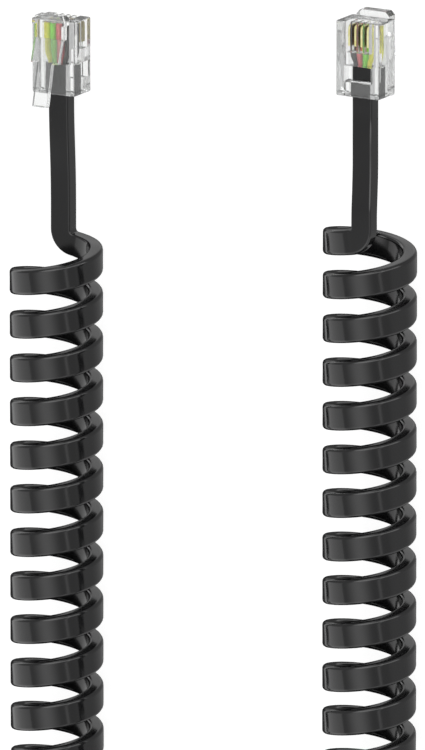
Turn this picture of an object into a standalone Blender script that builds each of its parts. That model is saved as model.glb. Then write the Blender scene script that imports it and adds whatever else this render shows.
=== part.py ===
"""Curly telephone handset cord, retracted and laid in a U on a level floor.

A clear four-contact plug is crimped on each end, and a flat straight lead runs from each plug to one long
right-handed coil. Metres, +Z up, +Y towards the plugs' noses. The origin is under the middle of the whole
cord, on the floor.
"""
import math

import bmesh
import bpy
import numpy as np
from mathutils import Vector

# Plug body. Its width is that of the four-contact handset plug, and sets the scale of everything else.
# A length that ends in BACK is measured from the front end of the body towards the cord.
PLUG_WIDTH = 0.00765
PLUG_THICKNESS = 0.0051
PLUG_LENGTH = 0.0119
PLUG_EDGE_RADIUS = 0.0002
NOSE_WIDTH = 0.0058
NOSE_REACH = 0.00095
NOSE_CORNER = 0.00065
NOSE_STEP = 0.0003
LATCH_RISE_ROOT = 0.0016
LATCH_RISE_SHOULDER = 0.00275
LATCH_RISE_TIP = 0.0043
LATCH_THICKNESS = 0.00095
LATCH_ARM_WIDTH = 0.0049
LATCH_ROOT_BACK = 0.0026
LATCH_SHOULDER_BACK = 0.0064
LATCH_TIP_BACK = 0.01305
LATCH_TAIL_WIDTH = 0.0026

# Contacts, conductors and the spaces that hold them. A FRONT, FLOOR, REAR or DEPTH is measured from the rear face.
CONTACT_COUNT = 4
CONTACT_PITCH = 0.0011
CONTACT_THICKNESS = 0.0003
CONTACT_HEIGHT = 0.00165
CONTACT_LENGTH = 0.0033
CONTACT_NOSE_RADIUS = 0.0006
CONTACT_SET_BACK = 0.0006
SLOT_WIDTH = 0.0008
SLOT_LENGTH = 0.0049
WIRE_DIAMETER = 0.001
WIRE_FRONT = 0.0112
CHAMBER_WIDTH = 0.0045
CHAMBER_HEIGHT = 0.0012
CHAMBER_FRONT = 0.0114
SLOT_CHAMBER_LAP = 0.00005
CONTACT_WIRE_GAP = 0.0001
WIRE_GAP = 0.0001
CRIMP_POCKET_WIDTH = 0.0048
CRIMP_POCKET_FRONT = 0.0049
CRIMP_POCKET_FLOOR = 0.0025
CRIMP_POCKET_REAR = 0.0023
CRIMP_DEPTH = 0.0047
TUNNEL_CLEARANCE = 0.00013
TUNNEL_LAP = 0.00015

# The cord. Its flat lead widens into the heat-set coil, whose solid is a tube of the coil's outer diameter.
LEAD_WIDTH = 0.0035
LEAD_THICKNESS = 0.0023
LEAD_EDGE_RADIUS = 0.0003
COIL_DIAMETER = 0.0146
COIL_HALF_SPACING = 0.02815
FACE_GAP = 0.0003

# Where the middle of each plug's rear face lies. The left plug lies on its contacts, the right one on its latch.
LEFT_PLUG = Vector((-0.02995, 0.0819, PLUG_THICKNESS / 2))
RIGHT_PLUG = Vector((0.02703, 0.0888, LATCH_RISE_TIP + PLUG_THICKNESS / 2))

# Route of the left lead from its crimp to the underside of the coil, and of the right lead to its top.
LEFT_COIL_START = 0.0594
RIGHT_COIL_START = 0.0691
LEFT_LEAD_ROUTE = [
    (-0.02995, 0.0866, 0.00255),
    (-0.02995, 0.0819, 0.00255),
    (-0.02997, 0.0788, 0.00250),
    (-0.03010, 0.0738, 0.00208),
    (-0.03029, 0.0688, 0.00152),
    (-0.03042, 0.0640, 0.00122),
    (-0.03045, LEFT_COIL_START + FACE_GAP, 0.00118),
]
RIGHT_LEAD_ROUTE = [
    (0.02703, 0.0935, 0.00685),
    (0.02703, 0.0888, 0.00685),
    (0.02710, 0.0860, 0.00695),
    (0.02777, 0.0821, 0.00812),
    (0.02889, 0.0784, 0.01008),
    (0.02991, 0.0744, 0.01206),
    (0.03046, 0.0714, 0.01320),
    (0.03057, RIGHT_COIL_START + FACE_GAP, 0.01340),
]

# Route of the coil's axis seen from above, down the left limb, round the bend and back up the right limb.
COIL_ROUTE = [
    (-COIL_HALF_SPACING, LEFT_COIL_START),
    (-COIL_HALF_SPACING, 0.0200),
    (-COIL_HALF_SPACING, -0.0200),
    (-COIL_HALF_SPACING, -0.0468),
    (-0.02800, -0.0608),
    (-0.02590, -0.0740),
    (-0.02050, -0.0849),
    (-0.01130, -0.0921),
    (0.0, -0.0946),
    (0.01130, -0.0921),
    (0.02050, -0.0849),
    (0.02590, -0.0740),
    (0.02800, -0.0608),
    (COIL_HALF_SPACING, -0.0468),
    (COIL_HALF_SPACING, -0.0200),
    (COIL_HALF_SPACING, 0.0200),
    (COIL_HALF_SPACING, RIGHT_COIL_START),
]
COIL_STATIONS = 56
LEAD_STATIONS = 14
CORNER_STEPS = 4
SECTION_STEPS = 2
FINE_STEPS = 40

for old in list(bpy.data.objects):
    bpy.data.objects.remove(old, do_unlink=True)

cord_parts = bpy.data.collections.new("telephone_cord")
cutters = bpy.data.collections.new("cutters")
bpy.context.scene.collection.children.link(cord_parts)
bpy.context.scene.collection.children.link(cutters)


def make_material(name, colour, roughness, metallic=0.0, alpha=1.0):
    material = bpy.data.materials.new(name)
    material.use_nodes = True
    shader = material.node_tree.nodes["Principled BSDF"]
    shader.inputs["Base Color"].default_value = (*colour, 1.0)
    shader.inputs["Roughness"].default_value = roughness
    shader.inputs["Metallic"].default_value = metallic
    shader.inputs["Alpha"].default_value = alpha
    return material


CLEAR_PLASTIC = make_material("clear_polycarbonate", (0.86, 0.88, 0.86), 0.08, alpha=0.35)
GOLD_PLATE = make_material("gold_plated_contact", (0.83, 0.62, 0.27), 0.25, metallic=1.0)
BLACK_JACKET = make_material("black_jacket", (0.02, 0.02, 0.022), 0.3)
WIRE_MATERIALS = {
    "black": make_material("black_insulation", (0.02, 0.02, 0.02), 0.4),
    "red": make_material("red_insulation", (0.62, 0.05, 0.05), 0.4),
    "green": make_material("green_insulation", (0.04, 0.35, 0.08), 0.4),
    "yellow": make_material("yellow_insulation", (0.85, 0.70, 0.08), 0.4),
}


def add_part(name, data, material, location=(0, 0, 0), rotation=(0, 0, 0), parent=None):
    """Links a finished mesh or curve as one named piece of the cord."""
    part = bpy.data.objects.new(name, data)
    part.location = location
    part.rotation_euler = rotation
    part.parent = parent
    cord_parts.objects.link(part)
    if not data.materials:
        data.materials.append(material)
    return part


def box_mesh(name, low, high):
    """A box between two corners, from a unit cube."""
    low = Vector(low)
    high = Vector(high)
    bm = bmesh.new()
    bmesh.ops.create_cube(bm, size=1.0)
    bmesh.ops.scale(bm, vec=high - low, verts=bm.verts)
    bmesh.ops.translate(bm, vec=(low + high) / 2, verts=bm.verts)
    mesh = bpy.data.meshes.new(name)
    bm.to_mesh(mesh)
    bm.free()
    return mesh


def outline_mesh(name, points, width, side_profile=True):
    """A flat outline given half its width on each side. A side profile lists (y, z) points, a plan lists (x, y)."""
    curve = bpy.data.curves.new(name, "CURVE")
    curve.dimensions = "2D"
    curve.fill_mode = "BOTH"
    curve.extrude = width / 2
    spline = curve.splines.new("POLY")
    spline.points.add(len(points) - 1)
    spline.use_cyclic_u = True
    for point, (first, second) in zip(spline.points, points):
        point.co = (first, second, 0.0, 1.0)
    flat = bpy.data.objects.new(name, curve)
    if side_profile:
        flat.rotation_euler = (math.pi / 2, 0.0, math.pi / 2)
    cutters.objects.link(flat)
    bpy.context.view_layer.update()
    mesh = bpy.data.meshes.new_from_object(flat.evaluated_get(bpy.context.evaluated_depsgraph_get()))
    turn = flat.matrix_world.copy()
    bpy.data.objects.remove(flat, do_unlink=True)
    mesh.transform(turn)
    bm = bmesh.new()
    bm.from_mesh(mesh)
    bmesh.ops.remove_doubles(bm, verts=bm.verts, dist=1e-6)
    bmesh.ops.recalc_face_normals(bm, faces=bm.faces)
    bm.to_mesh(mesh)
    bm.free()
    return mesh


def add_cutter(name, mesh, location=(0, 0, 0)):
    cutter = bpy.data.objects.new(name, mesh)
    cutter.location = location
    cutter.hide_render = True
    cutter.display_type = "WIRE"
    cutters.objects.link(cutter)
    return cutter


def combine(target, operation, tools):
    """Adds one exact Boolean for each tool object."""
    for tool in tools:
        step = target.modifiers.new(tool.name, "BOOLEAN")
        step.operation = operation
        step.solver = "EXACT"
        step.object = tool


def baked_mesh(holder, name):
    """The holder's mesh with its modifiers applied."""
    bpy.context.view_layer.update()
    mesh = bpy.data.meshes.new_from_object(holder.evaluated_get(bpy.context.evaluated_depsgraph_get()))
    mesh.name = name
    mesh.materials.clear()
    return mesh


def smooth_route(points, stations):
    """Evenly spaced points on the natural cubic spline through a route's own points."""
    knots = np.array(points, dtype=float)
    spans = np.linalg.norm(np.diff(knots, axis=0), axis=1)
    count = len(knots)
    system = np.zeros((count, count))
    target = np.zeros_like(knots)
    system[0, 0] = 1.0
    system[-1, -1] = 1.0
    for i in range(1, count - 1):
        system[i, i - 1] = spans[i - 1]
        system[i, i] = 2.0 * (spans[i - 1] + spans[i])
        system[i, i + 1] = spans[i]
        target[i] = 6.0 * ((knots[i + 1] - knots[i]) / spans[i] - (knots[i] - knots[i - 1]) / spans[i - 1])
    bend = np.linalg.solve(system, target)
    fine = []
    for i, span in enumerate(spans):
        for t in np.linspace(0.0, 1.0, FINE_STEPS, endpoint=False):
            a = 1.0 - t
            pull = ((a ** 3 - a) * bend[i] + (t ** 3 - t) * bend[i + 1]) * span ** 2 / 6.0
            fine.append(a * knots[i] + t * knots[i + 1] + pull)
    fine.append(knots[-1])
    fine = np.array(fine)
    run = np.concatenate(([0.0], np.cumsum(np.linalg.norm(np.diff(fine, axis=0), axis=1))))
    wanted = np.linspace(0.0, run[-1], stations)
    return np.column_stack([np.interp(wanted, run, fine[:, k]) for k in range(fine.shape[1])])


def tube_curve(name, points):
    """A poly curve along the points, with filled caps, ready for a round or a flat section."""
    curve = bpy.data.curves.new(name, "CURVE")
    curve.dimensions = "3D"
    curve.twist_mode = "Z_UP"
    curve.use_fill_caps = True
    spline = curve.splines.new("POLY")
    spline.points.add(len(points) - 1)
    for point, place in zip(spline.points, points):
        point.co = (*place, 1.0)
    return curve


def flat_section(name, width, thickness, radius):
    """A rounded rectangle, the outline of the lead's jacket."""
    curve = bpy.data.curves.new(name, "CURVE")
    curve.dimensions = "2D"
    corners = [(1, 1, 0), (-1, 1, 90), (-1, -1, 180), (1, -1, 270)]
    places = []
    for side, top, start in corners:
        for step in range(SECTION_STEPS + 1):
            angle = math.radians(start + 90 * step / SECTION_STEPS)
            x = side * (width / 2 - radius) + radius * math.cos(angle)
            y = top * (thickness / 2 - radius) + radius * math.sin(angle)
            places.append((x, y, 0.0, 1.0))
    spline = curve.splines.new("POLY")
    spline.points.add(len(places) - 1)
    spline.use_cyclic_u = True
    for point, place in zip(spline.points, reversed(places)):
        point.co = place
    return add_cutter(name, curve)


def contact_place(index):
    """How far a contact stands from the plug's middle, counted from the left with the contacts up and nose away."""
    return (index - (CONTACT_COUNT - 1) / 2) * CONTACT_PITCH


# How far a tool runs past or into the plug's block, so that no two faces of one moulding lie in the same plane.
OVERRUN = 0.001
EMBED = 0.0005
HAIR = 0.00001


def latch_arm():
    """The springy arm: thick at its root, then shoulders that catch in the jack, then a narrow finger tail."""
    face = -PLUG_THICKNESS / 2
    front = PLUG_LENGTH - 10 * HAIR
    root = PLUG_LENGTH - LATCH_ROOT_BACK
    shoulder = PLUG_LENGTH - LATCH_SHOULDER_BACK
    tip = PLUG_LENGTH - LATCH_TIP_BACK
    side_profile = [
        (front, face + EMBED),
        (front, face - LATCH_RISE_ROOT),
        (root, face - LATCH_RISE_ROOT),
        (shoulder, face - LATCH_RISE_SHOULDER),
        (tip, face - LATCH_RISE_TIP),
        (tip, face - LATCH_RISE_TIP + LATCH_THICKNESS),
        (shoulder, face - LATCH_RISE_SHOULDER + LATCH_THICKNESS),
        (root - NOSE_STEP, face - LATCH_RISE_ROOT + LATCH_THICKNESS),
        (root - NOSE_STEP, face + EMBED),
    ]
    arm = add_cutter("latch_arm", outline_mesh("latch_arm", side_profile, LATCH_ARM_WIDTH))
    notches = []
    for side in (-1, 1):
        edges = sorted((side * LATCH_TAIL_WIDTH / 2, side * (LATCH_ARM_WIDTH / 2 + OVERRUN)))
        low = (edges[0], tip - OVERRUN, face - LATCH_RISE_TIP - OVERRUN)
        high = (edges[1], shoulder, face - EMBED)
        notches.append(add_cutter("latch_notch", box_mesh("latch_notch", low, high)))
    combine(arm, "DIFFERENCE", notches)
    return arm


def latch_nose():
    """The block at the latch's root, ahead of the body's end, with its front corners cut off."""
    side = NOSE_WIDTH / 2 - HAIR
    back = PLUG_LENGTH - EMBED
    front = PLUG_LENGTH + NOSE_REACH
    height = LATCH_RISE_ROOT + NOSE_STEP
    plan = [
        (-side, back),
        (side, back),
        (side, front - NOSE_CORNER),
        (side - NOSE_CORNER, front),
        (NOSE_CORNER - side, front),
        (-side, front - NOSE_CORNER),
    ]
    middle = (0, 0, NOSE_STEP - (PLUG_THICKNESS + height) / 2)
    return add_cutter("nose", outline_mesh("nose", plan, height - 2 * HAIR, side_profile=False), middle)


def plug_hollows():
    """The wire chamber, a slot over each wire, the tunnel for the jacket and the pocket over the crimp bar."""
    half = PLUG_THICKNESS / 2
    chamber_side = CHAMBER_WIDTH / 2
    chamber_top = CHAMBER_HEIGHT / 2
    low = (-chamber_side, CRIMP_DEPTH, -chamber_top)
    high = (chamber_side, CHAMBER_FRONT, chamber_top)
    boxes = {"wire_chamber": (low, high)}
    for index in range(CONTACT_COUNT):
        place = contact_place(index)
        low = (place - SLOT_WIDTH / 2, PLUG_LENGTH - SLOT_LENGTH, chamber_top - SLOT_CHAMBER_LAP)
        high = (place + SLOT_WIDTH / 2, PLUG_LENGTH + OVERRUN, half + OVERRUN)
        boxes[f"slot_{index + 1}"] = (low, high)
    tunnel_side = LEAD_WIDTH / 2 + TUNNEL_CLEARANCE
    tunnel_top = LEAD_THICKNESS / 2 + TUNNEL_CLEARANCE
    boxes["tunnel"] = ((-tunnel_side, -OVERRUN, -tunnel_top), (tunnel_side, CRIMP_DEPTH + TUNNEL_LAP, tunnel_top))
    cuts = [add_cutter(name, box_mesh(name, low, high)) for name, (low, high) in boxes.items()]
    pocket_bottom = tunnel_top - EMBED / 2
    slope = (half - pocket_bottom) / (CRIMP_POCKET_FLOOR - CRIMP_POCKET_REAR)
    pocket_profile = [
        (CRIMP_POCKET_FRONT, pocket_bottom),
        (CRIMP_POCKET_FRONT, half + OVERRUN),
        (CRIMP_POCKET_REAR - OVERRUN / slope, half + OVERRUN),
        (CRIMP_POCKET_FLOOR, pocket_bottom),
    ]
    cuts.append(add_cutter("crimp_pocket", outline_mesh("crimp_pocket", pocket_profile, CRIMP_POCKET_WIDTH)))
    return cuts


def plug_body_mesh():
    """The moulded body with its latch and its hollows.

    Its own frame has the middle of the rear face at the origin, +Y to the nose and +Z to the contact face.
    """
    corner = Vector((PLUG_WIDTH / 2, PLUG_LENGTH, PLUG_THICKNESS / 2))
    low = (-corner.x, 0.0, -corner.z)
    block = add_cutter("plug_block", box_mesh("plug_block", low, corner))
    rounding = block.modifiers.new("edges", "BEVEL")
    rounding.width = PLUG_EDGE_RADIUS
    rounding.segments = 2
    combine(block, "UNION", [latch_arm(), latch_nose()])
    combine(block, "DIFFERENCE", plug_hollows())
    mesh = baked_mesh(block, "plug_body")
    bm = bmesh.new()
    bm.from_mesh(mesh)
    bmesh.ops.remove_doubles(bm, verts=bm.verts, dist=HAIR / 5)
    bmesh.ops.dissolve_limit(bm, angle_limit=math.radians(0.5), verts=bm.verts, edges=bm.edges)
    bmesh.ops.triangulate(bm, faces=bm.faces)
    bm.to_mesh(mesh)
    bm.free()
    return mesh


def contact_mesh():
    """One stamped blade on edge, its front upper corner rounded where the jack's spring wire slides on to it."""
    low = WIRE_DIAMETER / 2 + CONTACT_WIRE_GAP
    high = low + CONTACT_HEIGHT
    front = PLUG_LENGTH - CONTACT_SET_BACK
    rear = front - CONTACT_LENGTH
    outline = [(rear, low), (front, low)]
    for step in range(CORNER_STEPS + 1):
        angle = math.radians(90 * step / CORNER_STEPS)
        along = front - CONTACT_NOSE_RADIUS * (1 - math.cos(angle))
        up = high - CONTACT_NOSE_RADIUS * (1 - math.sin(angle))
        outline.append((along, up))
    outline.append((rear, high))
    return outline_mesh("contact", outline, CONTACT_THICKNESS)


def wire_curve(name):
    """A conductor's bared end in its insulation, from the jacket's end to under its contact."""
    rear = CRIMP_DEPTH + WIRE_GAP
    points = [(0.0, rear + (WIRE_FRONT - rear) * step / 2, 0.0) for step in range(3)]
    curve = tube_curve(name, points)
    curve.bevel_depth = WIRE_DIAMETER / 2
    curve.bevel_resolution = 2
    return curve


# Seen from the contact side with the nose away, both plugs have black, red, green and yellow from left to right.
BODY_MESH = plug_body_mesh()
CONTACT_MESH = contact_mesh()
for side, place, turn in (("left", LEFT_PLUG, math.pi), ("right", RIGHT_PLUG, 0.0)):
    plug = bpy.data.objects.new(side + "_plug_place", None)
    plug.location = place
    plug.rotation_euler = (0.0, turn, 0.0)
    cord_parts.objects.link(plug)
    add_part(side + "_plug_body", BODY_MESH, CLEAR_PLASTIC, parent=plug)
    for index, colour in enumerate(WIRE_MATERIALS):
        across = (contact_place(index), 0.0, 0.0)
        add_part(f"{side}_contact_{index + 1}", CONTACT_MESH, GOLD_PLATE, across, parent=plug)
        wire = wire_curve(f"{side}_{colour}_wire")
        add_part(f"{side}_{colour}_wire", wire, WIRE_MATERIALS[colour], across, parent=plug)

LEAD_SECTION = flat_section("lead_section", LEAD_WIDTH, LEAD_THICKNESS, LEAD_EDGE_RADIUS)
for side, route in (("left", LEFT_LEAD_ROUTE), ("right", RIGHT_LEAD_ROUTE)):
    lead = tube_curve(side + "_straight_lead", smooth_route(route, LEAD_STATIONS))
    lead.bevel_mode = "OBJECT"
    lead.bevel_object = LEAD_SECTION
    add_part(side + "_straight_lead", lead, BLACK_JACKET)

coil_axis = [(x, y, COIL_DIAMETER / 2) for x, y in smooth_route(COIL_ROUTE, COIL_STATIONS)]
coil = tube_curve("coiled_cord", coil_axis)
coil.bevel_depth = COIL_DIAMETER / 2
coil.bevel_resolution = 4
add_part("coiled_cord", coil, BLACK_JACKET)
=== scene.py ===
"""Looks of the curly telephone handset cord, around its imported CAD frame. Metres, +Z up, +Y to the plugs."""

import math

import bmesh
import bpy
import numpy as np
from mathutils import Matrix, Vector


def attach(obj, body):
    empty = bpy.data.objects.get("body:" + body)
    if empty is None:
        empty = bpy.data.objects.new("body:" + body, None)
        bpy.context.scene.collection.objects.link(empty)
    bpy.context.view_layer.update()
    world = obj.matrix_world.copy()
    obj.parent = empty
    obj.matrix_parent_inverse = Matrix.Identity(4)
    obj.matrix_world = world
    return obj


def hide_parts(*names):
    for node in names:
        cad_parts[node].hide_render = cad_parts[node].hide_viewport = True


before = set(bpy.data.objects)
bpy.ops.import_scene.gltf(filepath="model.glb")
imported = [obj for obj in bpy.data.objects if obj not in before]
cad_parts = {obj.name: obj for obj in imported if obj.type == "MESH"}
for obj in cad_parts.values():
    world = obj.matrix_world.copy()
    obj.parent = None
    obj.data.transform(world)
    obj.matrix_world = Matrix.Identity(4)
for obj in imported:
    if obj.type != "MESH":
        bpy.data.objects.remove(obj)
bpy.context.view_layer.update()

# The photograph's view. A very long lens looks down on the laid-out cord from its right, as flat as the
# picture is, and its frame ends a few turns above the bend of the U.
VIEW_YAW = math.radians(30.1)
VIEW_PITCH = math.radians(13.8)
VIEW_CENTRE = Vector((0.00003, 0.04106, 0.0073))
VIEW_HEIGHT = 0.11664
VIEW_LENS = 900.0
VIEW_REACH = 30.0
towards_camera = Vector((
    math.cos(VIEW_PITCH) * math.sin(VIEW_YAW),
    math.sin(VIEW_PITCH),
    math.cos(VIEW_PITCH) * math.cos(VIEW_YAW),
))
picture_right = Vector((math.cos(VIEW_YAW), 0.0, -math.sin(VIEW_YAW)))
picture_up = towards_camera.cross(picture_right)
lens_data = bpy.data.cameras.new("studio_camera")
lens_data.lens = VIEW_LENS
lens_data.clip_end = VIEW_REACH
camera = bpy.data.objects.new("studio_camera", lens_data)
camera_distance = VIEW_HEIGHT * VIEW_LENS / lens_data.sensor_width
camera_turn = Matrix((picture_right, picture_up, towards_camera)).transposed().to_4x4()
camera.matrix_world = Matrix.Translation(VIEW_CENTRE + towards_camera * camera_distance) @ camera_turn
bpy.context.scene.collection.objects.link(camera)
bpy.context.scene.camera = camera
bpy.context.scene.view_settings.view_transform = "Standard"


# The jacket: one extruded strip of black PVC. Its flat lead bends on edge into the coil, which is wound on a
# mandrel with its broad side to the axis and heat-set. It is one solid from plug to plug.
LEFT_COIL_START = 0.0594
RIGHT_COIL_START = 0.0691
FACE_GAP = 0.0003
COIL_HALF_SPACING = 0.02815
COIL_AXIS_HEIGHT = 0.0073
COIL_MEAN_RADIUS = 0.00615
COIL_TURNS = 49.5
COIL_STEPS_PER_TURN = 54
FIRST_PITCH = 0.00680
LEFT_PITCH = 0.007029
RIGHT_PITCH = 0.006964
NOMINAL_PITCH = 0.00696
FIRST_EASING = 1.0
LEFT_EASING = (12.0, 17.0)
RIGHT_EASING = (33.0, 38.0)
BAND_WIDTH = 0.00412
BAND_THICKNESS = 0.0023
BAND_EDGE_RADIUS = 0.00062
BAND_EDGE_STEPS = 4
LEAD_WIDTH = 0.0035
LEAD_EDGE_RADIUS = 0.0003
FOLD_RADIUS = 0.0023
FOLD_STEPS = 14
WIDENING_LENGTH = 0.007
AXIS_STATIONS = 3000
LEAD_STATIONS = 40
LEFT_LEAD_ROUTE = [
    (-0.02995, 0.0866, 0.00255),
    (-0.02995, 0.0819, 0.00255),
    (-0.02997, 0.0788, 0.00250),
    (-0.03010, 0.0738, 0.00208),
    (-0.03029, 0.0688, 0.00152),
    (-0.03042, 0.0640, 0.00122),
    (-0.03045, LEFT_COIL_START + FACE_GAP, 0.00118),
]
RIGHT_LEAD_ROUTE = [
    (0.02703, 0.0935, 0.00685),
    (0.02703, 0.0888, 0.00685),
    (0.02710, 0.0860, 0.00695),
    (0.02777, 0.0821, 0.00812),
    (0.02889, 0.0784, 0.01008),
    (0.02991, 0.0744, 0.01206),
    (0.03046, 0.0714, 0.01320),
    (0.03057, RIGHT_COIL_START + FACE_GAP, 0.01340),
]
COIL_ROUTE = [
    (-COIL_HALF_SPACING, LEFT_COIL_START),
    (-COIL_HALF_SPACING, 0.0200),
    (-COIL_HALF_SPACING, -0.0200),
    (-COIL_HALF_SPACING, -0.0468),
    (-0.02800, -0.0608),
    (-0.02590, -0.0740),
    (-0.02050, -0.0849),
    (-0.01130, -0.0921),
    (0.0, -0.0946),
    (0.01130, -0.0921),
    (0.02050, -0.0849),
    (0.02590, -0.0740),
    (0.02800, -0.0608),
    (COIL_HALF_SPACING, -0.0468),
    (COIL_HALF_SPACING, -0.0200),
    (COIL_HALF_SPACING, 0.0200),
    (COIL_HALF_SPACING, RIGHT_COIL_START),
]


def run_along(rows):
    """How far along a line each of its points is."""
    return np.concatenate(([0.0], np.cumsum(np.linalg.norm(np.diff(rows, axis=0), axis=1))))


def smooth_route(points, stations, fine_steps=40):
    """Evenly spaced points on the natural cubic spline through a route's own points."""
    knots = np.array(points, dtype=float)
    spans = np.linalg.norm(np.diff(knots, axis=0), axis=1)
    count = len(knots)
    system = np.zeros((count, count))
    target = np.zeros_like(knots)
    system[0, 0] = 1.0
    system[-1, -1] = 1.0
    for i in range(1, count - 1):
        system[i, i - 1] = spans[i - 1]
        system[i, i] = 2.0 * (spans[i - 1] + spans[i])
        system[i, i + 1] = spans[i]
        target[i] = 6.0 * ((knots[i + 1] - knots[i]) / spans[i] - (knots[i] - knots[i - 1]) / spans[i - 1])
    bend = np.linalg.solve(system, target)
    fine = []
    for i, span in enumerate(spans):
        for t in np.linspace(0.0, 1.0, fine_steps, endpoint=False):
            a = 1.0 - t
            pull = ((a ** 3 - a) * bend[i] + (t ** 3 - t) * bend[i + 1]) * span ** 2 / 6.0
            fine.append(a * knots[i] + t * knots[i + 1] + pull)
    fine.append(knots[-1])
    fine = np.array(fine)
    run = run_along(fine)
    wanted = np.linspace(0.0, run[-1], stations)
    return np.column_stack([np.interp(wanted, run, fine[:, k]) for k in range(fine.shape[1])])


def unit(rows):
    return rows / np.linalg.norm(rows, axis=1, keepdims=True)


# The coil's axis, and where on it the band crosses under the left limb and over the right one. Each lead's
# fold ends on the band a little to the side of that crossing.
WORLD_UP = np.array((0.0, 0.0, 1.0))
axis = smooth_route(COIL_ROUTE, AXIS_STATIONS)
axis_run = run_along(axis)
axis_heading = unit(np.gradient(axis, axis_run, axis=0))
band_slope = math.atan(NOMINAL_PITCH / (math.tau * COIL_MEAN_RADIUS))
fold_width = FOLD_RADIUS * (1 - math.sin(band_slope))
fold_length = FOLD_RADIUS * math.cos(band_slope)
left_lead = smooth_route(LEFT_LEAD_ROUTE, LEAD_STATIONS)
right_lead = smooth_route(RIGHT_LEAD_ROUTE, LEAD_STATIONS)
left_aside = left_lead[-1][0] + fold_width + COIL_HALF_SPACING
right_aside = right_lead[-1][0] - fold_width - COIL_HALF_SPACING
left_crossing = LEFT_COIL_START - left_lead[-1][1] + fold_length - left_aside * math.tan(band_slope)
right_crossing = right_lead[-1][1] - RIGHT_COIL_START - fold_length - right_aside * math.tan(band_slope)
coil_length = axis_run[-1] + right_crossing - left_crossing

# The pitch grows over the first turn, and eases into the bend's own pitch and out of it again. A stretch of
# even pitch counts up to the middle of the turns that ease it, and the bend takes up the rest of the length.
first_turns = FIRST_EASING / 2
left_turns = sum(LEFT_EASING) / 2 - first_turns
right_turns = COIL_TURNS - sum(RIGHT_EASING) / 2
bend_turns = COIL_TURNS - first_turns - left_turns - right_turns
limbs_length = first_turns * FIRST_PITCH + left_turns * LEFT_PITCH + right_turns * RIGHT_PITCH
bend_pitch = (coil_length - limbs_length) / bend_turns
easing_turns = [0.0, FIRST_EASING, *LEFT_EASING, *RIGHT_EASING]
easing_pitches = [FIRST_PITCH, LEFT_PITCH, LEFT_PITCH, bend_pitch, bend_pitch, RIGHT_PITCH]

# The coil's rings, counted by the angle turned: where each is, and which way its broad outer side faces.
first_angle = math.pi + math.asin(left_aside / COIL_MEAN_RADIUS)
last_angle = math.pi + math.tau * COIL_TURNS + math.asin(right_aside / COIL_MEAN_RADIUS)
turned = np.linspace(first_angle, last_angle, int(COIL_TURNS * COIL_STEPS_PER_TURN))
turns = (turned - math.pi) / math.tau
pitch = np.interp(turns, easing_turns, easing_pitches)
station = np.concatenate(([0.0], np.cumsum(np.diff(turns) * (pitch[1:] + pitch[:-1]) / 2)))
station += left_crossing + turns[0] * FIRST_PITCH
middle = np.column_stack([np.interp(station, axis_run, axis[:, k]) for k in range(2)])
middle = np.column_stack((middle, np.full(len(turned), COIL_AXIS_HEIGHT)))
heading = unit(np.column_stack([np.interp(station, axis_run, axis_heading[:, k]) for k in range(2)]))
sideways = np.column_stack((heading[:, 1], -heading[:, 0], np.zeros(len(turned))))
coil_facing = np.sin(turned)[:, None] * sideways + np.cos(turned)[:, None] * WORLD_UP
coil_rings = middle + COIL_MEAN_RADIUS * coil_facing


def fold_rings(lead_end, coil_end, swing):
    """The bend on edge from a lead to the coil, level but for the little that its ends differ in height."""
    angles = np.linspace(0.0, math.pi / 2 - band_slope, FOLD_STEPS + 1)[1:-1]
    across = lead_end[0] + swing * FOLD_RADIUS * (1 - np.cos(angles))
    along = lead_end[1] - FOLD_RADIUS * np.sin(angles)
    height = lead_end[2] + (coil_end[2] - lead_end[2]) * np.arange(1, FOLD_STEPS) / FOLD_STEPS
    return np.column_stack((across, along, height))


left_fold = fold_rings(left_lead[-1], coil_rings[0], 1)
right_fold = fold_rings(right_lead[-1], coil_rings[-1], -1)[::-1]
jacket_rings = np.concatenate([left_lead, left_fold, coil_rings, right_fold, right_lead[::-1]])
jacket_facing = np.concatenate([
    np.tile(-WORLD_UP, (len(left_lead) + len(left_fold), 1)),
    coil_facing,
    np.tile(WORLD_UP, (len(right_lead) + len(right_fold), 1)),
])

# The strip is a little narrower and squarer in the leads, and swells to the coil's section after each fold.
jacket_run = run_along(jacket_rings)
left_fold_end = jacket_run[len(left_lead) + len(left_fold)]
right_fold_start = jacket_run[-len(right_lead) - len(right_fold)]
right_fold_end = jacket_run[-len(right_lead)]
widening_places = [left_fold_end, left_fold_end + WIDENING_LENGTH, right_fold_start, right_fold_end]
widening = np.interp(jacket_run, widening_places, [0, 1, 1, 0])
eased = widening * widening * (3 - 2 * widening)
lead_width_share = LEAD_WIDTH / BAND_WIDTH
lead_edge_share = LEAD_EDGE_RADIUS / BAND_EDGE_RADIUS
jacket_wide = lead_width_share + (1 - lead_width_share) * eased
jacket_round = lead_edge_share + (1 - lead_edge_share) * eased


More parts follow.
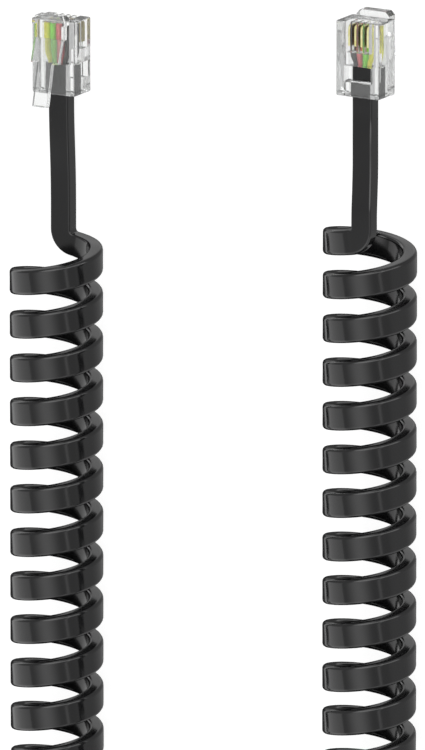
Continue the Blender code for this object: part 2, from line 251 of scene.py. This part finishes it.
class Socket:
    """A node's output, with Python's own signs for sums. It serves shaders and Geometry Nodes alike."""

    def __init__(self, tree, output=None):
        self.tree = tree
        self.output = output

    def node(self, kind, settings=(), sockets=(), output=0):
        """Any node: its settings are set first, then its sockets' values or links."""
        made = self.tree.nodes.new(kind)
        for name, value in dict(settings).items():
            if name == "stops":
                ramp = made.color_ramp.elements
                for place, shade in value[len(ramp):]:
                    ramp.new(place)
                for stop, (place, shade) in zip(ramp, value):
                    stop.position = place
                    stop.color = (*shade, 1.0)
            else:
                setattr(made, name, value)
        for name, value in dict(sockets).items():
            if isinstance(value, Socket):
                self.tree.links.new(value.output, made.inputs[name])
            else:
                made.inputs[name].default_value = value
        return Socket(self.tree, made.outputs[output])

    def feed(self, node, name):
        self.tree.links.new(self.output, node.inputs[name])

    def maths(self, operation, first, second):
        return self.node("ShaderNodeMath", {"operation": operation}, {0: first, 1: second})

    def vector(self, operation, other, output=0):
        return self.node("ShaderNodeVectorMath", {"operation": operation}, {0: self, 1: other}, output)

    def __add__(self, other):
        return self.maths("ADD", self, other)

    __radd__ = __add__

    def __sub__(self, other):
        return self.maths("SUBTRACT", self, other)

    def __rsub__(self, other):
        return self.maths("SUBTRACT", other, self)

    def __mul__(self, other):
        return self.maths("MULTIPLY", self, other)

    __rmul__ = __mul__


def sweep_tree():
    """Sweeps a rounded section along a line whose points say which way it faces and how its sides scale."""
    tree = bpy.data.node_groups.new("swept_section", "GeometryNodeTree")
    sizes = [
        ("Geometry", "NodeSocketGeometry"),
        ("Width", "NodeSocketFloat"),
        ("Thickness", "NodeSocketFloat"),
        ("Edge Radius", "NodeSocketFloat"),
        ("Edge Steps", "NodeSocketInt"),
        ("Material", "NodeSocketMaterial"),
    ]
    for name, kind in sizes:
        tree.interface.new_socket(name, in_out="INPUT", socket_type=kind)
    tree.interface.new_socket("Geometry", in_out="OUTPUT", socket_type="NodeSocketGeometry")
    start = Socket(tree)
    given = {name: start.node("NodeGroupInput", output=i) for i, (name, kind) in enumerate(sizes)}

    def attribute(name, kind="FLOAT_VECTOR"):
        return start.node("GeometryNodeInputNamedAttribute", {"data_type": kind}, {"Name": name})

    line = start.node("GeometryNodeMeshToCurve", (), {"Mesh": given["Geometry"]})
    line = start.node(
        "GeometryNodeSetCurveNormal", {"mode": "FREE"}, {"Curve": line, "Normal": attribute("facing")}
    )
    section = start.node(
        "GeometryNodeCurvePrimitiveQuadrilateral", (), {"Width": given["Thickness"], "Height": given["Width"]}
    )
    section = start.node(
        "GeometryNodeFilletCurve",
        {"mode": "POLY"},
        {"Curve": section, "Count": given["Edge Steps"], "Radius": given["Edge Radius"]},
    )
    around = start.node("GeometryNodeSplineParameter", output=1)
    section = start.node(
        "GeometryNodeStoreNamedAttribute",
        {"data_type": "FLOAT", "domain": "POINT"},
        {"Geometry": section, "Name": "around", "Value": around},
    )
    tube = start.node(
        "GeometryNodeCurveToMesh", (), {"Curve": line, "Profile Curve": section, "Fill Caps": True}
    )
    from_middle = start.node("GeometryNodeInputPosition").vector("SUBTRACT", attribute("middle"))
    moved = attribute("middle")
    for side, share, size in (("across", "wide", "Width"), ("facing", "thick", "Thickness")):
        reach = from_middle.vector("DOT_PRODUCT", attribute(side), 1)
        corner = start.maths("SIGN", reach, 0.0) * given[size] * 0.5
        reach = (corner - (corner - reach) * attribute("round", "FLOAT")) * attribute(share, "FLOAT")
        step = start.node(
            "ShaderNodeVectorMath", {"operation": "SCALE"}, {0: attribute(side), "Scale": reach}
        )
        moved = moved.vector("ADD", step)
    tube = start.node("GeometryNodeSetPosition", (), {"Geometry": tube, "Position": moved})
    most_neighbours_of_a_side_face = 4.5
    neighbours = start.node("GeometryNodeInputMeshFaceNeighbors")
    cut_end = start.maths("GREATER_THAN", neighbours, most_neighbours_of_a_side_face)
    for chosen, smooth in ((1.0 - cut_end, True), (cut_end, False)):
        tube = start.node(
            "GeometryNodeSetShadeSmooth", (), {"Geometry": tube, "Selection": chosen, "Shade Smooth": smooth}
        )
    tube = start.node("GeometryNodeRealizeInstances", (), {"Geometry": tube})
    tube = start.node("GeometryNodeSetMaterial", (), {"Geometry": tube, "Material": given["Material"]})
    tube.feed(tree.nodes.new("NodeGroupOutput"), 0)
    return tree


SWEEP = sweep_tree()


def swept_piece(name, rings, facing, sizes, wide=1.0, thick=1.0, rounded=1.0):
    """A plain mesh piece, swept along the rings."""
    heading = unit(np.gradient(rings, axis=0))
    across = unit(np.cross(heading, facing))
    facing = np.cross(across, heading)
    line = bpy.data.meshes.new(name + "_line")
    line.from_pydata(rings.tolist(), [(i, i + 1) for i in range(len(rings) - 1)], [])
    for label, rows in (("middle", rings), ("across", across), ("facing", facing)):
        line.attributes.new(label, "FLOAT_VECTOR", "POINT").data.foreach_set("vector", rows.ravel())
    for label, row in (("wide", wide), ("thick", thick), ("round", rounded), ("along", run_along(rings))):
        row = np.broadcast_to(np.asarray(row, dtype=float), len(rings)).copy()
        line.attributes.new(label, "FLOAT", "POINT").data.foreach_set("value", row)
    holder = bpy.data.objects.new(name + "_line", line)
    bpy.context.scene.collection.objects.link(holder)
    sweep = holder.modifiers.new("sweep", "NODES")
    sweep.node_group = SWEEP
    for item in SWEEP.interface.items_tree:
        if item.name in sizes:
            sweep[item.identifier] = sizes[item.name]
    holder.modifiers.new("flat_stays_flat", "WEIGHTED_NORMAL").keep_sharp = True
    bpy.context.view_layer.update()
    mesh = bpy.data.meshes.new_from_object(holder.evaluated_get(bpy.context.evaluated_depsgraph_get()))
    bpy.data.objects.remove(holder)
    for label in ("middle", "across", "facing", "wide", "thick", "round"):
        mesh.attributes.remove(mesh.attributes[label])
    mesh.name = name
    piece = bpy.data.objects.new(name, mesh)
    bpy.context.scene.collection.objects.link(piece)
    return piece


def new_finish(name, constants):
    """A Principled material with its fixed sockets set, and the Socket that its pattern grows from."""
    material = bpy.data.materials.new(name)
    material.use_nodes = True
    shader = material.node_tree.nodes["Principled BSDF"]
    for socket, value in constants.items():
        shader.inputs[socket].default_value = value
    return material, shader, Socket(material.node_tree)


# The PVC is glossy, a little cloudy in its gloss, with faint lines along it from the extruder's die.
DIE_LINES_AROUND = 5000.0
DIE_LINES_ALONG = 90.0
black_pvc, pvc_shader, pvc = new_finish("black_pvc", {
    "Base Color": (0.004, 0.004, 0.0043, 1.0),
    "IOR": 1.5,
    "Specular IOR Level": 0.5,
})
pvc_place = pvc.node("ShaderNodeTexCoord", output=3)
pvc_cloud = pvc.node("ShaderNodeTexNoise", (), {"Vector": pvc_place, "Scale": 180.0, "Detail": 3.0})
(0.09 + 0.08 * pvc_cloud).feed(pvc_shader, "Roughness")
around_strip, along_strip = [
    pvc.node("ShaderNodeAttribute", {"attribute_name": name}, output=2) for name in ("around", "along")
]
die_lines_place = pvc.node(
    "ShaderNodeCombineXYZ", (), {"X": around_strip * DIE_LINES_AROUND, "Y": along_strip * DIE_LINES_ALONG}
)
die_lines = pvc.node("ShaderNodeTexNoise", (), {"Vector": die_lines_place, "Scale": 1.0, "Detail": 2.0})
die_relief = pvc.node("ShaderNodeBump", (), {"Height": die_lines, "Strength": 0.25, "Distance": 0.000004})
die_relief.feed(pvc_shader, "Normal")

jacket = swept_piece(
    "cord_jacket",
    jacket_rings,
    jacket_facing,
    {
        "Width": BAND_WIDTH,
        "Thickness": BAND_THICKNESS,
        "Edge Radius": BAND_EDGE_RADIUS,
        "Edge Steps": BAND_EDGE_STEPS,
        "Material": black_pvc,
    },
    wide=jacket_wide,
    rounded=jacket_round,
)
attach(jacket, "root")
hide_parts("left_straight_lead", "coiled_cord", "right_straight_lead")


# The conductors: four insulated tinsel wires, laid side by side in the jacket. Each bared end fans out from
# the cut jacket to lie under its own contact, and the tinsel shows as a dot in its cut face.
LEFT_PLUG = Vector((-0.02995, 0.0819, 0.00255))
RIGHT_PLUG = Vector((0.02703, 0.0888, 0.00685))
PLUG_FRAMES = {
    "left": Matrix.Translation(LEFT_PLUG) @ Matrix.Rotation(math.pi, 4, "Y"),
    "right": Matrix.Translation(RIGHT_PLUG),
}
CONTACT_PITCH = 0.0011
JACKET_WIRE_PITCH = 0.0008
WIRE_DIAMETER = 0.001
WIRE_EDGE_STEPS = 5
WIRE_STATIONS = 30
WIRE_REAR = 0.00475
WIRE_FAN_END = 0.0067
WIRE_FRONT = 0.0112
WIRE_FAN = [
    (WIRE_REAR, 0.0),
    (0.0052, 0.1),
    (0.0059, 0.7),
    (WIRE_FAN_END, 1.0),
    (0.0086, 1.0),
    (WIRE_FRONT, 1.0),
]
TINSEL_DIAMETER = 0.00042
TINSEL_EDGE_STEPS = 3
TINSEL_STATIONS = 4
TINSEL_BURIED = 0.0004
TINSEL_PROUD = 0.0001
ROUND_CORNER_SHARE = 0.499
WIRE_COLOURS = {
    "black": (0.015, 0.015, 0.015),
    "red": (0.95, 0.20, 0.22),
    "green": (0.33, 0.95, 0.08),
    "yellow": (0.98, 0.96, 0.08),
}
DEEP_SHARE = 0.8
SQUEEZED_SHARE = JACKET_WIRE_PITCH / CONTACT_PITCH


def mottled_finish(name, constants, spot_scale, spot_detail, tints, least_rough, more_rough):
    """A finish whose tint and gloss vary softly over it. Gives its material, its shader and its spots."""
    material, shader, start = new_finish(name, constants)
    place = start.node("ShaderNodeTexCoord", output=3)
    spots = start.node(
        "ShaderNodeTexNoise", (), {"Vector": place, "Scale": spot_scale, "Detail": spot_detail}
    )
    start.node("ShaderNodeValToRGB", {"stops": tints}, {"Fac": spots}).feed(shader, "Base Color")
    (least_rough + more_rough * spots).feed(shader, "Roughness")
    return material, shader, spots


def insulation(colour, shade):
    """Extruded insulation: semi-gloss, its colour a little uneven along the wire."""
    deep = tuple(DEEP_SHARE * part for part in shade)
    tints = [(0.35, deep), (0.65, shade)]
    return mottled_finish(colour + "_insulation_plastic", {"IOR": 1.5}, 900.0, 2.0, tints, 0.28, 0.14)[0]


def round_section(diameter, edge_steps, material):
    """The sizes of a round section, whose corners take up all but a hair of its sides."""
    return {
        "Width": diameter,
        "Thickness": diameter,
        "Edge Radius": diameter * ROUND_CORNER_SHARE,
        "Edge Steps": edge_steps,
        "Material": material,
    }


def across_row(index, spacing):
    """How far from the row's middle one of the four wires or contacts is."""
    return (index - (len(WIRE_COLOURS) - 1) / 2) * spacing


def in_plug(plug_frame, points):
    return np.array([plug_frame @ Vector(point) for point in points])


tinsel_tints = [(0.3, (0.42, 0.16, 0.07)), (0.7, (0.85, 0.42, 0.25))]
tinsel_copper = mottled_finish("tinsel_copper", {"Metallic": 1.0}, 9000.0, 2.0, tinsel_tints, 0.25, 0.2)[0]

for index, (colour, shade) in enumerate(WIRE_COLOURS.items()):
    plastic = insulation(colour, shade)
    in_jacket = across_row(index, JACKET_WIRE_PITCH)
    under_contact = across_row(index, CONTACT_PITCH)
    wire_route = [(in_jacket * (1 - share) + under_contact * share, y, 0.0) for y, share in WIRE_FAN]
    wire_points = smooth_route(wire_route, WIRE_STATIONS)
    swelling = np.interp(wire_points[:, 1], [WIRE_REAR, WIRE_FAN_END], [SQUEEZED_SHARE, 1.0])
    tinsel_places = np.linspace(WIRE_FRONT - TINSEL_BURIED, WIRE_FRONT + TINSEL_PROUD, TINSEL_STATIONS)
    tinsel_points = [(under_contact, y, 0.0) for y in tinsel_places]
    for side, plug_frame in PLUG_FRAMES.items():
        upward = np.array(plug_frame.to_3x3() @ Vector((0, 0, 1)))
        name = f"{side}_{colour}_insulated_wire"
        wire = swept_piece(
            name,
            in_plug(plug_frame, wire_points),
            np.tile(upward, (WIRE_STATIONS, 1)),
            round_section(WIRE_DIAMETER, WIRE_EDGE_STEPS, plastic),
            wide=swelling,
            thick=swelling,
        )
        core = swept_piece(
            name + "_core",
            in_plug(plug_frame, tinsel_points),
            np.tile(upward, (TINSEL_STATIONS, 1)),
            round_section(TINSEL_DIAMETER, TINSEL_EDGE_STEPS, tinsel_copper),
        )
        shape = bmesh.new()
        shape.from_mesh(wire.data)
        insulation_faces = len(shape.faces)
        shape.from_mesh(core.data)
        shape.faces.ensure_lookup_table()
        for face in shape.faces[insulation_faces:]:
            face.material_index = 1
        shape.to_mesh(wire.data)
        shape.free()
        wire.data.materials.append(tinsel_copper)
        bpy.data.objects.remove(core)
        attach(wire, "root")
        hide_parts(f"{side}_{colour}_wire")


# The contacts: blades stamped from phosphor bronze and gold plated. Their edges show bright gold, and their
# broad sides take a dark olive gold that is painted shade, as if shaded deep in their slots. Each stands on
# edge in its slot, its two tines are pushed through the insulation, and its rounded front corner meets the
# jack's spring.
BLADE_THICKNESS = 0.00034
BLADE_REAR = 0.0080
BLADE_FRONT = 0.0113
BLADE_LOW = 0.0006
BLADE_HIGH = 0.00225
BLADE_CORNER = 0.0006
BLADE_CORNER_STEPS = 8
BLADE_ROUNDING = 0.00003
TINE_TIP = -0.0002
TINES = (0.0088, 0.0101)
TINE_HALF_WIDTH = 0.0003

blade_outline = [(BLADE_REAR, BLADE_LOW)]
for tine in TINES:
    blade_outline += [
        (tine - TINE_HALF_WIDTH, BLADE_LOW),
        (tine, TINE_TIP),
        (tine + TINE_HALF_WIDTH, BLADE_LOW),
    ]
blade_outline.append((BLADE_FRONT, BLADE_LOW))
for angle in np.linspace(0.0, math.pi / 2, BLADE_CORNER_STEPS + 1):
    blade_outline.append((
        BLADE_FRONT - BLADE_CORNER * (1 - math.cos(angle)),
        BLADE_HIGH - BLADE_CORNER * (1 - math.sin(angle)),
    ))
blade_outline.append((BLADE_REAR, BLADE_HIGH))
outline_count = len(blade_outline)
blade_edges = [
    (i, (i + 1) % outline_count, (i + 1) % outline_count + outline_count, i + outline_count)
    for i in range(outline_count)
]
blade_sides = [tuple(range(outline_count))[::-1], tuple(range(outline_count, 2 * outline_count))]

gold_tints = [(0.3, (0.93, 0.85, 0.34)), (0.7, (1.0, 0.97, 0.6))]
gold_plate = mottled_finish("gold_plated_bronze", {"Metallic": 1.0}, 1500.0, 3.0, gold_tints, 0.16, 0.16)[0]
# Painted shade: the blades' broad sides are the same gold plate, darkened to olive as if shaded in their
# slots.
side_shade_tints = [(0.3, (0.26, 0.21, 0.05)), (0.7, (0.42, 0.36, 0.11))]
shaded_blade_side = mottled_finish("blade_side_painted_shade", {"Metallic": 1.0}, 1200.0, 3.0, side_shade_tints, 0.3, 0.2)[0]


def round_edges(piece, width):
    """A fine rounding of a piece's sharp edges."""
    rounding = piece.modifiers.new("rounded_edges", "BEVEL")
    rounding.width = width
    rounding.segments = 2
    rounding.limit_method = "ANGLE"
    rounding.angle_limit = math.radians(35)


for index in range(len(WIRE_COLOURS)):
    middle_x = across_row(index, CONTACT_PITCH)
    side_places = (middle_x - BLADE_THICKNESS / 2, middle_x + BLADE_THICKNESS / 2)
    corners = [(x, y, z) for x in side_places for y, z in blade_outline]
    for side, plug_frame in PLUG_FRAMES.items():
        mesh = bpy.data.meshes.new(f"{side}_contact_blade_{index + 1}")
        mesh.from_pydata(corners, [], blade_edges + blade_sides)
        mesh.materials.append(gold_plate)
        # The broad sides get the dark olive gold of painted shade.
        mesh.materials.append(shaded_blade_side)
        mesh.polygons.foreach_set("material_index", [0] * len(blade_edges) + [1] * len(blade_sides))
        mesh.transform(plug_frame)
        shape = bmesh.new()
        shape.from_mesh(mesh)
        bmesh.ops.recalc_face_normals(shape, faces=shape.faces)
        shape.to_mesh(mesh)
        shape.free()
        blade = bpy.data.objects.new(mesh.name, mesh)
        bpy.context.scene.collection.objects.link(blade)
        round_edges(blade, BLADE_ROUNDING)
        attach(blade, "root")
        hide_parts(f"{side}_contact_{index + 1}")


# The plug bodies: clear polycarbonate, moulded in one with the latch. The wires and the jacket's end are
# pushed in from the rear, and the crimp bar over them is bent down on the jacket.
MOULDED_ROUNDING = 0.00007
SAME_POINT = 0.000002
SAME_PLANE = math.radians(1)
plastic_tints = [(0.3, (0.94, 0.95, 0.945)), (0.7, (0.98, 0.985, 0.98))]
plastic_constants = {"Transmission Weight": 0.965, "IOR": 1.58}
clear_plastic, plastic_shader, ripple = mottled_finish(
    "clear_moulded_polycarbonate", plastic_constants, 350.0, 2.0, plastic_tints, 0.05, 0.06
)
flow = ripple.node("ShaderNodeBump", (), {"Height": ripple, "Strength": 0.15, "Distance": 0.0003})
flow.feed(plastic_shader, "Normal")

plug_bodies = {}
for side in PLUG_FRAMES:
    shape = bmesh.new()
    shape.from_mesh(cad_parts[side + "_plug_body"].data)
    bmesh.ops.remove_doubles(shape, verts=shape.verts, dist=SAME_POINT)
    bmesh.ops.dissolve_limit(shape, angle_limit=SAME_PLANE, verts=shape.verts, edges=shape.edges)
    mesh = bpy.data.meshes.new(side + "_moulded_plug")
    shape.to_mesh(mesh)
    shape.free()
    mesh.materials.append(clear_plastic)
    body = bpy.data.objects.new(mesh.name, mesh)
    bpy.context.scene.collection.objects.link(body)
    round_edges(body, MOULDED_ROUNDING)
    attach(body, "root")
    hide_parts(side + "_plug_body")
    plug_bodies[side] = body

# The whole cord leaves the left plug and ends in the right one, and what the picture crops is the rest of
# the coil. Here the pieces at its right end are listed: the right plug's body, contact blades and wires.
right_end_pieces = [plug_bodies["right"].name]
right_end_pieces += [f"right_contact_blade_{index + 1}" for index in range(len(WIRE_COLOURS))]
right_end_pieces += [f"right_{colour}_insulated_wire" for colour in WIRE_COLOURS]

# The studio's lights: long softboxes, a strip light and dim walls that run parallel to the cord, a bright
# panel past the plugs and a dim one past the bend. The camera sees a white backdrop, and a patch of light
# that lies straight behind the cord is seen through the clear plastic alone.
world = bpy.data.worlds.new("studio")
world.use_nodes = True
bpy.context.scene.world = world
sky = Socket(world.node_tree)
seen_way = sky.node("ShaderNodeTexCoord")
way_right, endways, way_up = [
    sky.node("ShaderNodeSeparateXYZ", (), {"Vector": seen_way}, k) for k in range(3)
]
round_cord = sky.maths("ARCTAN2", way_up, way_right) * math.degrees(1.0)


def rise(low, high, way=round_cord):
    """0 below the first value and 1 above the second. Round the cord, 0 degrees is its right, 90 overhead."""
    return sky.node(
        "ShaderNodeMapRange",
        {"interpolation_type": "SMOOTHSTEP"},
        {"Value": way, "From Min": low, "From Max": high},
    )


# Each light has its strength, its soft edges in degrees round the cord, and its ends, which are the part of a
# direction that points along the cord to the plugs.
right_wall = 0.35 * rise(-118, -92) + 0.12 * rise(-92, -50) + 0.2 * rise(-50, -5) - 0.14 * rise(2, 14)
strip_light = 0.75 * (rise(28, 33.5) - rise(34.5, 39))
overhead = 1.12 * (rise(46, 84) - rise(86, 124))
left_softbox = (0.65 * rise(127.5, 129) + 0.1 * rise(130, 155)) * (1 - rise(-0.1, 0.15, endways))
below_left = 1.2 * (1 - rise(-162, -152))
seen_through = sky.node("ShaderNodeLightPath", output="Is Transmission Ray")
through_floor = 0.95 * (rise(-138, -130) - rise(-112, -104)) * (1 - rise(-0.2, -0.08, endways))
through_floor = through_floor * seen_through
along_cord = right_wall + strip_light + overhead + left_softbox + below_left + through_floor
plug_end_span = rise(0.3, 0.42, endways) - rise(0.68, 0.8, endways)
plug_end_panel = 1.9 * plug_end_span * (rise(-22, -8) - rise(102, 116))
plug_end_glow = (0.32 * rise(0.05, 0.2, endways) + 0.5 * rise(0.3, 0.45, endways)) * (1 - rise(-110, -85))
bend_end_span = rise(-0.9, -0.8, endways) - rise(-0.55, -0.4, endways)
bend_end_panel = 0.5 * bend_end_span * rise(-90, -60)
room_glow = 0.05
room = along_cord * rise(-0.97, -0.88, endways) + plug_end_panel + plug_end_glow + bend_end_panel
backdrop = sky.node("ShaderNodeLightPath", output="Is Camera Ray")
lit = world.node_tree.nodes["Background"]
((room + room_glow) * (1 - backdrop) + backdrop).feed(lit, "Strength")
lit.inputs["Color"].default_value = (1.0, 1.0, 1.0, 1.0)

# The studio's floor: a plain pale sheet, lit from below.
FLOOR_REACH = 15.0
floor_corners = [(x * FLOOR_REACH, y * FLOOR_REACH, 0.0) for x, y in ((-1, -1), (1, -1), (1, 1), (-1, 1))]
floor_mesh = bpy.data.meshes.new("studio_floor")
floor_mesh.from_pydata(floor_corners, [], [(0, 1, 2, 3)])
floor = bpy.data.objects.new("studio_floor", floor_mesh)
bpy.context.scene.collection.objects.link(floor)
floor_finish = new_finish("studio_floor", {
    "Base Color": (0.15, 0.15, 0.15, 1.0),
    "Roughness": 0.9,
    "Emission Color": (1.0, 1.0, 1.0, 1.0),
    "Emission Strength": 0.92,
})[0]
floor_mesh.materials.append(floor_finish)
floor.visible_glossy = False
floor.visible_transmission = False
